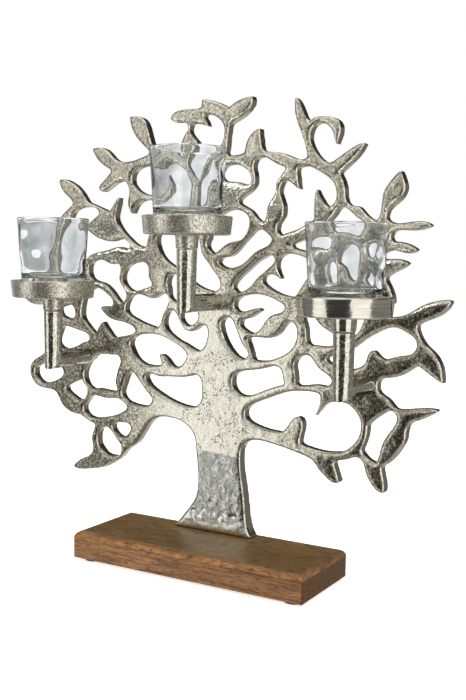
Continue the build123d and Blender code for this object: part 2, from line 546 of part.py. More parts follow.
def tree_casting():
    """The flat tree, drilled for the arm screws and tapped for the base screws."""
    face = Face(rim_wire(), [gap_wire(stretches) for stretches in TREE_GAPS])
    tree = extrude(face, amount=TREE_FOOT_THICKNESS, dir=(0, 1, 0))
    tree = tree & side_profile()
    for x, z in ARMS.values():
        tree -= level(M5_CLEARANCE_RADIUS, TREE_FOOT_THICKNESS, (x, TREE_FRONT_Y, z))
    for x in base_screw_positions():
        tree -= upright(M6_THREAD_RADIUS, TREE_THREAD_DEPTH, (x, BASE_SCREW_Y, BASE_TOP))
    return tree.solid()


# ---- arms ---------------------------------------------------------------------------

def half_space(tilt):
    """Half of a large box, cut at 45 degrees through the X axis."""
    size = 4 * ARM_REACH
    return Rot(tilt, 0, 0) * Box(size, size, size, align=(Align.CENTER, Align.CENTER, Align.MIN))


def arm(x, z):
    """An L of round bar, mitred at the corner and tapped at both ends."""
    corner_reach = ARM_POST_TOP_RADIUS
    tube = level(ARM_TUBE_RADIUS, ARM_REACH + corner_reach, (0, -corner_reach, 0))
    post = upright(
        ARM_POST_FOOT_RADIUS,
        POST_TOP_ABOVE_TUBE + corner_reach,
        (0, 0, -corner_reach),
        top_radius=ARM_POST_TOP_RADIUS,
    )
    bar = (tube & half_space(-135)) + (post & half_space(45))
    rear = ARM_REACH - ARM_REAR_THREAD_DEPTH
    bar -= level(M5_THREAD_RADIUS, ARM_REAR_THREAD_DEPTH, (0, rear, 0))
    shoulder = POST_TOP_ABOVE_TUBE - ARM_TOP_THREAD_DEPTH
    bar -= upright(M6_THREAD_RADIUS, ARM_TOP_THREAD_DEPTH, (0, 0, shoulder))
    return Pos(x, POST_Y, z) * bar


# ---- dishes -------------------------------------------------------------------------

def dish(x, z):
    """Shallow cast dish with a boss below it that turns on the arm's stud."""
    foot_z = POST_TOP_ABOVE_TUBE
    floor_z = foot_z + BOSS_HEIGHT
    plate = upright(DISH_FOOT_RADIUS, DISH_HEIGHT, (0, 0, floor_z), top_radius=DISH_TOP_RADIUS)
    recess_z = floor_z + DISH_HEIGHT - DISH_RECESS_DEPTH
    plate -= upright(DISH_RECESS_RADIUS, DISH_RECESS_DEPTH, (0, 0, recess_z))
    rims = plate.edges().filter_by(GeomType.CIRCLE).group_by(Axis.Z)
    plate = fillet(rims[0] + rims[-1], DISH_EDGE_ROUND)
    boss = upright(BOSS_FOOT_RADIUS, BOSS_HEIGHT, (0, 0, foot_z), top_radius=BOSS_TOP_RADIUS)
    body = plate + boss
    body -= upright(M6_THREAD_RADIUS, BOSS_THREAD_DEPTH, (0, 0, foot_z))
    return Pos(x, POST_Y, z) * body


# ---- votive glasses -----------------------------------------------------------------

def glass(x, z):
    """Flared tumbler with a thick bottom, standing in the dish's recess."""
    slope = (GLASS_RIM_RADIUS - GLASS_FOOT_RADIUS) / GLASS_HEIGHT
    inner_foot = GLASS_FOOT_RADIUS + slope * GLASS_FLOOR - GLASS_WALL
    inner_rim = GLASS_RIM_RADIUS - GLASS_WALL
    body = upright(GLASS_FOOT_RADIUS, GLASS_HEIGHT, (0, 0, 0), top_radius=GLASS_RIM_RADIUS)
    inside_height = GLASS_HEIGHT - GLASS_FLOOR
    inside = upright(inner_foot, inside_height, (0, 0, GLASS_FLOOR), top_radius=inner_rim)
    inside = fillet(inside.edges().group_by(Axis.Z)[0], GLASS_INNER_ROUND)
    body = fillet(body.edges().group_by(Axis.Z)[0], GLASS_FOOT_ROUND)
    body -= inside
    body = fillet(body.edges().group_by(Axis.Z)[-1], GLASS_RIM_ROUND)
    return Pos(x, POST_Y, z + DISH_RISE - DISH_RECESS_DEPTH) * body


# ---- fasteners ----------------------------------------------------------------------

def dish_stud(x, z):
    """Threaded stud, half in the arm's post and half in the dish's boss."""
    foot_z = z + POST_TOP_ABOVE_TUBE - STUD_LENGTH / 2
    stud = upright(M6_RADIUS, STUD_LENGTH, (x, POST_Y, foot_z))
    return chamfer(stud.edges().filter_by(GeomType.CIRCLE), STUD_CHAMFER)


def socket(radius, depth):
    """Hexagonal drive that opens at Z = 0 and goes up."""
    return extrude(RegularPolygon(radius, 6), amount=depth)


def arm_screw(x, z):
    """Socket-head screw through the tree from the back into the arm."""
    shank_length = ARM_SCREW_GRIP + TREE_THICKNESS + ARM_WASHER_THICKNESS
    head = upright(ARM_SCREW_HEAD_RADIUS, ARM_SCREW_HEAD_HEIGHT, (0, 0, 0))
    head -= socket(ARM_SCREW_SOCKET_RADIUS, ARM_SCREW_SOCKET_DEPTH)
    shank = upright(M5_RADIUS, shank_length, (0, 0, ARM_SCREW_HEAD_HEIGHT))
    back = TREE_FRONT_Y + TREE_THICKNESS + ARM_WASHER_THICKNESS + ARM_SCREW_HEAD_HEIGHT
    return Pos(x, back, z) * Rot(90, 0, 0) * (head + shank)


def arm_washer(x, z):
    """Washer under the arm screw's head, flat on the back of the tree."""
    washer = ring(ARM_WASHER_RADIUS, M5_CLEARANCE_RADIUS, ARM_WASHER_THICKNESS)
    return Pos(x, TREE_FRONT_Y + TREE_THICKNESS, z) * Rot(-90, 0, 0) * washer


def base_screw(x):
    """Socket-head screw up through the wood into the trunk's foot."""
    washer_z = BASE_BOTTOM + COUNTERBORE_DEPTH - BASE_WASHER_THICKNESS
    head_z = washer_z - BASE_SCREW_HEAD_HEIGHT
    shank_z = head_z + BASE_SCREW_HEAD_HEIGHT
    shank_length = BASE_TOP + BASE_SCREW_ENGAGEMENT - shank_z
    head = upright(BASE_SCREW_HEAD_RADIUS, BASE_SCREW_HEAD_HEIGHT, (0, 0, head_z))
    head -= Pos(0, 0, head_z) * socket(BASE_SCREW_SOCKET_RADIUS, BASE_SCREW_SOCKET_DEPTH)
    shank = upright(M6_RADIUS, shank_length, (0, 0, shank_z))
    return Pos(x, BASE_SCREW_Y, 0) * (head + shank)


def base_washer(x):
    """Washer between the base screw's head and the counterbore."""
    washer = ring(BASE_WASHER_RADIUS, M6_CLEARANCE_RADIUS, BASE_WASHER_THICKNESS)
    washer_z = BASE_BOTTOM + COUNTERBORE_DEPTH - BASE_WASHER_THICKNESS
    return Pos(x, BASE_SCREW_Y, washer_z) * washer


# ---- write the pieces ---------------------------------------------------------------

os.makedirs("parts", exist_ok=True)

save(wooden_base(), "wooden_base")
for side, foot_x in (("left", -FOOT_X), ("right", FOOT_X)):
    save(foot(foot_x, -FOOT_Y), f"foot_front_{side}")
    save(foot(foot_x, FOOT_Y), f"foot_rear_{side}")

save(tree_casting(), "tree_casting")
for place, (arm_x, arm_z) in ARMS.items():
    save(arm(arm_x, arm_z), f"arm_{place}")
    save(dish(arm_x, arm_z), f"dish_{place}")
    save(glass(arm_x, arm_z), f"glass_{place}")

save(Compound(children=[dish_stud(x, z) for x, z in ARMS.values()]), "dish_studs")
save(Compound(children=[arm_screw(x, z) for x, z in ARMS.values()]), "arm_screws")
save(Compound(children=[arm_washer(x, z) for x, z in ARMS.values()]), "arm_washers")
save(Compound(children=[base_screw(x) for x in base_screw_positions()]), "base_screws")
save(Compound(children=[base_washer(x) for x in base_screw_positions()]), "base_washers")
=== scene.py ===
import math

import bmesh
import bpy
import numpy as np
from mathutils import Matrix, Vector, kdtree, noise


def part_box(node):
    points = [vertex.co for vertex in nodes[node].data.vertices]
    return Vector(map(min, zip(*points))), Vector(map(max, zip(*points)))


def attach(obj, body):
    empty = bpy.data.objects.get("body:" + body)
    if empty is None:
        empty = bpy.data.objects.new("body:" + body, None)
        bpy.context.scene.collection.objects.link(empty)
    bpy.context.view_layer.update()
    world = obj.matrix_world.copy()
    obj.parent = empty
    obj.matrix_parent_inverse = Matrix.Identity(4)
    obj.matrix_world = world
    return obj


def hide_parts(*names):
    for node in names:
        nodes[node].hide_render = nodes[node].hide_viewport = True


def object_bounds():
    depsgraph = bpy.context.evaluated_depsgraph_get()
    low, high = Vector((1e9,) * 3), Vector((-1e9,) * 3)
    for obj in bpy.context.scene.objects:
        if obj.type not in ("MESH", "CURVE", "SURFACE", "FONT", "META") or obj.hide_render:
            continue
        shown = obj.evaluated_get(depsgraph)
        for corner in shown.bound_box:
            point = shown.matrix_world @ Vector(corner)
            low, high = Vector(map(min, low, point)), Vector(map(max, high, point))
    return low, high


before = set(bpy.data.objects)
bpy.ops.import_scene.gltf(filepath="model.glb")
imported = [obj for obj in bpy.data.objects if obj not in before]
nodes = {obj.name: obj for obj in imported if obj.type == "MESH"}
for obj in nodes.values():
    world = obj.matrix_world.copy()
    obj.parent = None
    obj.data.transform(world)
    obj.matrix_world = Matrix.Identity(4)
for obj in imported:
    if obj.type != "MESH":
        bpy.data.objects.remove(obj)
cad_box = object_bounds()

# ---- sizes, in metres (the same as the CAD part's) ----------------------------------

MM = 0.001
BASE_LOW, BASE_HIGH = (Vector(corner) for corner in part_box("wooden_base"))
BASE_TOP = BASE_HIGH.z
TREE_X = -9 * MM
TREE_FRONT = 23 * MM
CROWN_THICKNESS = 11 * MM
FOOT_THICKNESS = 14.5 * MM
TAPER_HEIGHT = 95 * MM          # above the base: where the foot has thinned to the crown
CROWN_HEIGHT = 135 * MM         # above the base: the middle that the boughs spread from
POST_Y = -26 * MM
PLACES = ("left", "centre", "right")


# ---- small helpers ------------------------------------------------------------------

def add_object(name, data):
    """A new object in the scene for a mesh, camera or light."""
    obj = bpy.data.objects.new(name, data)
    bpy.context.scene.collection.objects.link(obj)
    return obj


def smooth(mesh):
    """Shades every face smooth."""
    mesh.polygons.foreach_set("use_smooth", [True] * len(mesh.polygons))


def mesh_from(name, vertices, faces):
    mesh = bpy.data.meshes.new(name)
    mesh.from_pydata([tuple(v) for v in vertices], [], faces)
    mesh.update()
    return mesh


def read_points(mesh):
    """The mesh's vertices as an array, one row each."""
    flat = np.empty(len(mesh.vertices) * 3)
    mesh.vertices.foreach_get("co", flat)
    return flat.reshape(-1, 3)


def write_points(mesh, points):
    mesh.vertices.foreach_set("co", points.ravel())
    mesh.update()


def smoothstep(low, high, value):
    """0 at low and 1 at high, whichever is larger, with a soft start and end."""
    t = np.clip((value - low) / (high - low), 0.0, 1.0)
    return t * t * (3 - 2 * t)


def ripple(points, size, seed, octaves=2):
    """Smooth noise from about -1 to 1 at each point, with lumps of the given size."""
    shift = Vector((seed * 7.31, seed * 3.17, seed * 5.77))
    values = [noise.fractal(Vector(p) / size + shift, 0.6, 2.0, octaves) for p in points]
    return np.array(values)


# ---- material helpers ---------------------------------------------------------------

def rgba(colour):
    if isinstance(colour, bpy.types.NodeSocket):
        return colour
    return (*colour, 1.0)


class Nodes:
    """A node tree that is put together one step at a time."""

    def __init__(self, tree):
        self.tree = tree
        self.tree.nodes.clear()
        self.where = self.add("ShaderNodeTexCoord")

    def add(self, kind, **settings):
        node = self.tree.nodes.new(kind)
        for key, value in settings.items():
            setattr(node, key, value)
        return node

    def link(self, source, target):
        self.tree.links.new(source, target)

    def feed(self, socket, value):
        """Links a socket to another, or sets it to a constant."""
        if isinstance(value, bpy.types.NodeSocket):
            self.link(value, socket)
        else:
            socket.default_value = value

    def ramp(self, value, low, high, start=0.0, end=1.0):
        """Maps value from low..high to start..end, smoothly and clamped."""
        node = self.add("ShaderNodeMapRange", interpolation_type="SMOOTHSTEP")
        self.feed(node.inputs["Value"], value)
        node.inputs["From Min"].default_value = low
        node.inputs["From Max"].default_value = high
        node.inputs["To Min"].default_value = start
        node.inputs["To Max"].default_value = end
        return node.outputs["Result"]

    def math(self, operation, a, b=0.0):
        node = self.add("ShaderNodeMath", operation=operation)
        self.feed(node.inputs[0], a)
        self.feed(node.inputs[1], b)
        return node.outputs["Value"]

    def product(self, first, *others):
        """All the values multiplied together."""
        for other in others:
            first = self.math("MULTIPLY", first, other)
        return first

    def rest_of(self, value):
        """What is left of 1 after the value."""
        return self.math("SUBTRACT", 1.0, value)

    def mix(self, factor, a, b):
        """Colour a where factor is 0 and colour b where it is 1."""
        node = self.add("ShaderNodeMix", data_type="RGBA")
        self.feed(node.inputs["Factor"], factor)
        self.feed(node.inputs[6], rgba(a))
        self.feed(node.inputs[7], rgba(b))
        return node.outputs[2]


class Shader(Nodes):
    """A material on one principled shader."""

    def __init__(self, name):
        self.material = bpy.data.materials.new(name)
        self.material.use_nodes = True
        super().__init__(self.material.node_tree)
        self.output = self.add("ShaderNodeOutputMaterial")
        self.surface = self.add("ShaderNodeBsdfPrincipled")
        self.link(self.surface.outputs["BSDF"], self.output.inputs["Surface"])

    def place(self, stretch):
        """Object coordinates, stretched along each axis."""
        mapping = self.add("ShaderNodeMapping")
        mapping.inputs["Scale"].default_value = stretch
        self.link(self.where.outputs["Object"], mapping.inputs["Vector"])
        return mapping.outputs["Vector"]

    def noise(self, size, detail=3.0, roughness=0.55, stretch=(1, 1, 1), distortion=0.0):
        """Noise with lumps of the given size in metres."""
        node = self.add("ShaderNodeTexNoise")
        self.link(self.place(stretch), node.inputs["Vector"])
        node.inputs["Scale"].default_value = 1 / size
        node.inputs["Detail"].default_value = detail
        node.inputs["Roughness"].default_value = roughness
        node.inputs["Distortion"].default_value = distortion
        return node.outputs["Fac"]

    def part(self, output, name):
        """One part (X, Y or Z) of the object coordinates or the normal."""
        split = self.add("ShaderNodeSeparateXYZ")
        self.link(self.where.outputs[output], split.inputs["Vector"])
        return split.outputs[name]

    def axis(self, name):
        """One object coordinate, in metres."""
        return self.part("Object", name)

    def facing(self, name):
        """One part of the surface normal, in the object's own frame."""
        return self.part("Normal", name)

    def stored(self, name):
        """A value kept on the mesh's points."""
        return self.add("ShaderNodeAttribute", attribute_name=name).outputs["Fac"]

    def bump(self, height, distance, strength=1.0, under=None):
        """Adds relief of the given depth in metres on top of another bump."""
        node = self.add("ShaderNodeBump")
        node.inputs["Distance"].default_value = distance
        self.feed(node.inputs["Strength"], strength)
        self.feed(node.inputs["Height"], height)
        if under is not None:
            self.link(under, node.inputs["Normal"])
        return node.outputs["Normal"]

    def finish(self, **sockets):
        """Sets the shader's own sockets and returns the material."""
        for name, value in sockets.items():
            self.feed(self.surface.inputs[name.replace("_", " ")], value)
        return self.material


def dress(obj, material):
    """Gives an object one material."""
    obj.data.materials.clear()
    obj.data.materials.append(material)


def dress_node(node, material):
    """Gives a CAD node a better material without touching its mesh."""
    for slot in nodes[node].material_slots:
        slot.material = material


# ---- metals -------------------------------------------------------------------------
# Colours are linear. A pair is (duller, brighter), and the grain moves between the two.

TRUNK_SILVER = (0.83, 0.80, 0.69), (0.95, 0.93, 0.83)
BOUGH_SILVER = (0.60, 0.56, 0.45), (0.87, 0.83, 0.71)
# Smoke patina darkened further with painted shade towards the leaf tips and sides
SMOKE_AND_SHADE_SILVER = (0.13, 0.12, 0.094), (0.42, 0.395, 0.32)
# Painted shade with painted glints for the left side of the crown
LEFT_SHADE_SILVER = (0.17, 0.16, 0.125), (0.66, 0.63, 0.52)
# Painted reflection of the floor: the hammered foot's cool grey
FOOT_REFLECTION_SILVER = (0.37, 0.38, 0.355), (0.47, 0.475, 0.44)
RIM_SILVER = (0.58, 0.54, 0.43), (0.88, 0.84, 0.72)
# Painted glints on the foot's raised dents
FOOT_GLINT = (0.93, 0.92, 0.86)
# Painted highlight along the foot's flared lip
LIP_HIGHLIGHT = (0.74, 0.72, 0.63)
WALL_SILVER = (0.60, 0.56, 0.45)
TREE_PIT = (0.20, 0.185, 0.145)
DISH_SILVER = (0.60, 0.565, 0.47), (0.96, 0.93, 0.83)
DISH_PIT = (0.22, 0.20, 0.16)
TURNED_SILVER = (0.74, 0.71, 0.62), (0.95, 0.92, 0.83)
ARM_SILVER = (0.66, 0.63, 0.54), (0.94, 0.91, 0.82)
ARM_DING = (0.26, 0.23, 0.18)
ZINC = (0.50, 0.51, 0.52), (0.68, 0.69, 0.69)

FOOT_HEIGHT = 80 * MM           # above the base: the upper edge of the hammered foot
FOOT_HALF_WIDTH = 59 * MM


def cast_tree_metal():
    """Champagne-silver sand casting: smoky leaves with painted shade, a pitted trunk, a
    hammered foot with a painted reflection, painted glints and a painted lip highlight.
    """
    s = Shader("cast_tree")
    fine = s.noise(1.8 * MM, detail=2, roughness=0.5, distortion=0.9)
    grain = s.noise(2.6 * MM, detail=1, roughness=0.5)
    dents = s.noise(4.2 * MM, detail=2, distortion=0.7)
    waves = s.noise(8 * MM, detail=1)
    patches = s.noise(17 * MM, detail=3)

    # Where a point lies: across from the trunk, above the base, out from the crown's middle.
    across = s.math("SUBTRACT", s.axis("X"), TREE_X)
    height = s.math("SUBTRACT", s.axis("Z"), BASE_TOP)
    rise = s.math("SUBTRACT", height, CROWN_HEIGHT)
    reach = s.math("SQRT", s.math("ADD", s.product(across, across), s.product(rise, rise)))
    outer = s.ramp(reach, 50 * MM, 125 * MM)
    tips = s.ramp(reach, 90 * MM, 150 * MM)
    on_face = s.ramp(s.stored("edge_mm"), 0.9, 2.4)
    inside_rim = s.ramp(s.stored("edge_mm"), 2.2, 4.2)
    on_front = s.ramp(s.facing("Y"), 0.3, -0.3)

    # The foot and its lip end along wavy lines.
    wavy = s.math("ADD", height, s.product(s.noise(14 * MM), 9 * MM))
    near_trunk = s.ramp(s.math("ABSOLUTE", across),
                        FOOT_HALF_WIDTH + 3 * MM, FOOT_HALF_WIDTH - 3 * MM)
    foot = s.ramp(wavy, FOOT_HEIGHT + 1.0 * MM, FOOT_HEIGHT - 0.6 * MM)
    foot = s.product(foot, on_front, near_trunk)
    lip = s.ramp(wavy, 15 * MM, 12 * MM)
    hammered = s.product(foot, s.rest_of(lip))
    above_foot = s.ramp(foot, 1.0, 0.0)

    pitted = s.ramp(patches, 0.47, 0.55, 0.08, 1.0)
    pits = s.product(s.ramp(fine, 0.43, 0.36), pitted, on_face, above_foot)

    # Smoke patina in the leaves, with painted shade towards the tips, strongest at the sides
    # and low down, and painted shade with painted glints on the left side.
    sideways = s.math("MAXIMUM", s.ramp(across, 40 * MM, 120 * MM, 0.5, 1.0),
                      s.ramp(across, -50 * MM, -130 * MM, 0.5, 0.92))
    smoke_and_shade = s.ramp(s.math("ADD", patches, s.product(tips, 0.50)), 0.60, 0.96)
    smoke_and_shade = s.product(smoke_and_shade, inside_rim, on_front, sideways,
                      s.ramp(reach, 70 * MM, 130 * MM),
                      s.ramp(height, 330 * MM, 230 * MM, 0.45, 1.0))
    # Painted shade: darker towards the left and lower down the crown
    left_shade = s.product(s.ramp(across, -35 * MM, -120 * MM),
                       s.ramp(height, 250 * MM, 130 * MM, 0.25, 0.85))

    trunk = s.mix(s.ramp(grain, 0.32, 0.62), *TRUNK_SILVER)
    boughs = s.mix(s.ramp(grain, 0.34, 0.62), *BOUGH_SILVER)
    silver = s.mix(outer, trunk, boughs)
    # Painted shade with painted glints on the left side
    silver = s.mix(left_shade, silver, s.mix(s.ramp(grain, 0.42, 0.64), *LEFT_SHADE_SILVER))
    # Smoke patina plus painted shade: darker towards the leaf tips, the sides and low down
    silver = s.mix(smoke_and_shade, silver, s.mix(s.ramp(grain, 0.40, 0.72), *SMOKE_AND_SHADE_SILVER))
    # Painted glints on the foot's raised dents, strongest near its bottom
    foot_glints = s.product(s.ramp(dents, 0.52, 0.60), s.ramp(wavy, 30 * MM, 20 * MM, 0.55, 1.0))
    # Painted floor reflection on the hammered foot, with painted glints on its raised dents
    foot_reflection_and_glints = s.mix(foot_glints, s.mix(s.ramp(waves, 0.36, 0.64), *FOOT_REFLECTION_SILVER), FOOT_GLINT)
    silver = s.mix(hammered, silver, foot_reflection_and_glints)
    # Painted highlight on the lip of the foot
    silver = s.mix(s.product(lip, foot), silver, LIP_HIGHLIGHT)
    silver = s.mix(s.product(pits, 0.85), silver, TREE_PIT)
    rim = s.mix(s.ramp(grain, 0.35, 0.60), *RIM_SILVER)
    rim = s.mix(s.ramp(s.facing("Y"), -0.70, -0.25), rim, WALL_SILVER)
    silver = s.mix(on_face, rim, silver)

    rough = s.math("ADD", s.ramp(fine, 0.30, 0.70, 0.15, 0.26), s.product(pits, 0.15))
    grainy = s.product(on_face, s.ramp(outer, 0.0, 1.0, 0.12, 0.40))
    grainy = s.math("ADD", grainy, s.product(left_shade, on_face, 0.35))
    grainy = s.product(grainy, s.ramp(foot, 1.0, 0.0, 0.2, 1.0))
    struck = s.product(hammered, s.ramp(height, 16 * MM, 34 * MM, 0.2, 0.6))
    sandy = s.product(on_face, s.ramp(outer, 0.0, 1.0, 0.35, 0.9))
    normal = s.bump(waves, 0.9 * MM, s.ramp(outer, 0.0, 1.0, 0.35, 0.75))
    normal = s.bump(grain, 0.55 * MM, grainy, under=normal)
    normal = s.bump(dents, 0.7 * MM, struck, under=normal)
    normal = s.bump(fine, 0.10 * MM, sandy, under=normal)
    normal = s.bump(s.rest_of(pits), 0.40 * MM, 0.9, under=normal)
    return s.finish(Base_Color=silver, Metallic=1.0, Roughness=rough, Normal=normal)


def cast_dish_metal():
    """The dishes' casting: the same silver with a fine even speckle."""
    s = Shader("cast_dish")
    fine = s.noise(1.3 * MM, detail=1)
    grain = s.noise(1.9 * MM, detail=2, roughness=0.45)
    pits = s.ramp(fine, 0.42, 0.36)
    silver = s.mix(s.ramp(grain, 0.36, 0.58), *DISH_SILVER)
    silver = s.mix(s.product(pits, 0.7), silver, DISH_PIT)
    rough = s.ramp(fine, 0.30, 0.70, 0.24, 0.38)
    normal = s.bump(s.noise(9 * MM, detail=1), 0.7 * MM, 0.5)
    normal = s.bump(grain, 0.30 * MM, 0.8, under=normal)
    normal = s.bump(s.rest_of(pits), 0.20 * MM, 0.8, under=normal)
    return s.finish(Base_Color=silver, Metallic=1.0, Roughness=rough, Normal=normal)


def turned_dish_metal():
    """The right dish came off the lathe smoother: fine rings run round it."""
    s = Shader("turned_dish")
    rings = s.noise(1.6 * MM, detail=1, stretch=(0.05, 0.05, 1.0))
    soft = s.noise(7.0 * MM, detail=2)
    silver = s.mix(s.ramp(rings, 0.3, 0.7), *TURNED_SILVER)
    rough = s.ramp(rings, 0.30, 0.70, 0.10, 0.20)
    normal = s.bump(rings, 0.28 * MM, 0.7)
    normal = s.bump(soft, 0.35 * MM, 0.6, under=normal)
    return s.finish(Base_Color=silver, Metallic=1.0, Roughness=rough, Normal=normal)


def polished_arm_metal():
    """Polished bar with faint file marks and a few dings."""
    s = Shader("polished_arm")
    marks = s.noise(3.2 * MM, detail=1)
    dings = s.ramp(s.noise(1.8 * MM, detail=1), 0.36, 0.31)
    silver = s.mix(s.ramp(marks, 0.35, 0.65), *ARM_SILVER)
    silver = s.mix(s.product(dings, 0.6), silver, ARM_DING)
    rough = s.ramp(marks, 0.30, 0.70, 0.09, 0.20)
    normal = s.bump(marks, 0.32 * MM, 0.7)
    normal = s.bump(s.rest_of(dings), 0.12 * MM, 0.6, under=normal)
    return s.finish(Base_Color=silver, Metallic=1.0, Roughness=rough, Normal=normal)


def plated_steel():
    """Zinc-plated screws, washers and studs with turning marks."""
    s = Shader("plated_steel")
    marks = s.noise(0.6 * MM, detail=3)
    spots = s.noise(3 * MM)
    zinc = s.mix(s.ramp(spots, 0.35, 0.65), *ZINC)
    rough = s.ramp(marks, 0.3, 0.7, 0.25, 0.45)
    normal = s.bump(marks, 0.05 * MM, 0.6)
    return s.finish(Base_Color=zinc, Metallic=1.0, Roughness=rough, Normal=normal)


# ---- wood, rubber, glass ------------------------------------------------------------

SIDE_WOOD = (0.085, 0.034, 0.010), (0.31, 0.150, 0.052)
SIDE_FIGURE = (0.185, 0.076, 0.024)
TOP_WOOD = (0.095, 0.054, 0.020), (0.26, 0.165, 0.068)
TOP_BLOTCH = (0.225, 0.118, 0.042)
END_WOOD = (0.066, 0.029, 0.007), (0.130, 0.062, 0.016)
RUBBED_WOOD = (0.40, 0.185, 0.060)
WOOD_STAIN = (0.050, 0.034, 0.025)
WOOD_PORE = (0.040, 0.019, 0.009)
CORNER_WOOD = (0.045, 0.014, 0.010)
RUBBER = (0.012, 0.012, 0.013), (0.045, 0.043, 0.040)
GLASS_TINT = (0.80, 0.83, 0.84), (0.96, 0.97, 0.975)


def mango_wood():
    """Stained mango wood: long grain, open pores, rubbed edges, dark end grain."""
    s = Shader("mango_wood")
    up = s.facing("Z")
    on_top = s.ramp(up, 0.75, 0.98)
    on_end = s.ramp(s.math("ABSOLUTE", s.facing("X")), 0.6, 0.9)
    grain = s.noise(2.6 * MM, detail=4, roughness=0.7, stretch=(0.09, 1, 1), distortion=0.4)
    figure = s.noise(24 * MM, detail=3, stretch=(0.22, 1, 1), distortion=0.8)
    pores = s.ramp(s.noise(1.0 * MM, detail=1, stretch=(0.16, 1, 1)), 0.56, 0.66)
    blotches = s.noise(38 * MM, detail=3)

    side = s.mix(s.ramp(grain, 0.3, 0.7), *SIDE_WOOD)
    side = s.mix(s.product(s.ramp(figure, 0.35, 0.70), 0.6), side, SIDE_FIGURE)
    top = s.mix(s.ramp(grain, 0.3, 0.7), *TOP_WOOD)
    top = s.mix(s.product(s.ramp(blotches, 0.40, 0.65), 0.6), top, TOP_BLOTCH)
    end = s.mix(s.ramp(s.noise(4 * MM, detail=4), 0.3, 0.7), *END_WOOD)
    colour = s.mix(on_end, s.mix(on_top, side, top), end)

    # Rubbed pale along the rounded top edge, with stains, pores and one dark front corner.
    rubbed = s.product(s.ramp(up, 0.10, 0.45), s.ramp(up, 0.97, 0.72),
                       s.ramp(s.noise(11 * MM, detail=4), 0.36, 0.60))
    stains = s.product(s.ramp(s.noise(9 * MM, detail=4, roughness=0.7), 0.56, 0.70),
                       s.ramp(up, 0.05, 0.5, 0.15, 1.0))
    corner = s.product(
        s.ramp(s.axis("X"), BASE_HIGH.x - 1.1 * MM, BASE_HIGH.x - 0.5 * MM),
        s.ramp(s.axis("Y"), BASE_LOW.y + 1.1 * MM, BASE_LOW.y + 0.5 * MM))
    colour = s.mix(s.product(rubbed, 0.75), colour, RUBBED_WOOD)
    colour = s.mix(s.product(stains, 0.55), colour, WOOD_STAIN)
    colour = s.mix(s.product(pores, 0.72), colour, WOOD_PORE)
    colour = s.mix(s.product(corner, 0.7), colour, CORNER_WOOD)

    rough = s.ramp(grain, 0.3, 0.7, 0.26, 0.42)
    normal = s.bump(grain, 0.18 * MM, 0.5)
    normal = s.bump(s.rest_of(pores), 0.2 * MM, 0.7, under=normal)
    return s.finish(Base_Color=colour, Roughness=rough, Normal=normal,
                    Specular_IOR_Level=0.35, Coat_Weight=0.08, Coat_Roughness=0.25)


def black_rubber():
    """Dull black rubber with a little dust on it."""
    s = Shader("black_rubber")
    dust = s.noise(2 * MM, detail=4)
    colour = s.mix(s.ramp(dust, 0.4, 0.7), *RUBBER)
    rough = s.ramp(dust, 0.3, 0.7, 0.55, 0.8)
    normal = s.bump(s.noise(0.7 * MM), 0.1 * MM, 0.6)
    return s.finish(Base_Color=colour, Roughness=rough, Normal=normal)


def clear_glass():
    """Pressed clear glass with gentle waves in it."""
    s = Shader("clear_glass")
    waves = s.noise(13 * MM, detail=1)
    tint = s.mix(s.ramp(waves, 0.3, 0.7), *GLASS_TINT)
    rough = s.ramp(s.noise(8 * MM), 0.3, 0.7, 0.0, 0.05)
    normal = s.bump(waves, 0.5 * MM, 0.5)
    return s.finish(Base_Color=tint, Roughness=rough, Normal=normal,
                    IOR=1.46, Transmission_Weight=1.0)


# ---- the tree -----------------------------------------------------------------------

TREE_VOXEL = 1.4 * MM
RIM_STEP = 0.4 * MM             # between the points that stand for the silhouette
FRONT_ROUND = 2.0 * MM          # radius of the rims in front, and behind
BACK_ROUND = 1.4 * MM
FALL_WIDTH = 5.5 * MM           # how far in from its rim a face falls away,
FALL_BOUGHS = 0.25 * MM         # and by how much on boughs and on leaves
FALL_LEAVES = 0.95 * MM
SKIN_DEPTH = 0.16 * MM          # unevenness of the cast skin, and of the hammered foot
HAMMER_DEPTH = 0.10 * MM
LIP_FLARE = 1.8 * MM            # how far the foot's lower edge stands forward
EDGE_LIMIT = 20                 # largest stored distance from the rim, in millimetres


def welded_copy(node):
    """A closed bmesh of a CAD node, with doubled vertices joined."""
    bm = bmesh.new()
    bm.from_mesh(nodes[node].data)
    bmesh.ops.remove_doubles(bm, verts=bm.verts, dist=1e-6)
    bmesh.ops.recalc_face_normals(bm, faces=bm.faces)
    bm.normal_update()
    return bm


def silhouette_points(bm, spacing):
    """Points along every edge where the flat front meets a side wall."""
    points = []
    for edge in bm.edges:
        if len(edge.link_faces) != 2:
            continue
        front, wall = sorted(face.normal.y for face in edge.link_faces)
        if front > -0.9 or wall < -0.5:
            continue
        a, b = edge.verts[0].co, edge.verts[1].co
        steps = max(1, int((b - a).length / spacing))
        points += [a.lerp(b, i / steps) for i in range(steps)]
    return points


def distance_to(rim, points):
    """Each point's distance from the nearest rim point, seen from the front."""
    tree = kdtree.KDTree(len(rim))
    for i, point in enumerate(rim):
        tree.insert((point.x, 0, point.z), i)
    tree.balance()
    return np.array([tree.find((x, 0, z))[2] for x, _, z in points])


def rounding(distance, radius):
    """How far a rounded edge has fallen at this distance in from the rim."""
    inward = np.clip(radius - distance, 0, radius)
    return radius - np.sqrt(radius * radius - inward * inward)


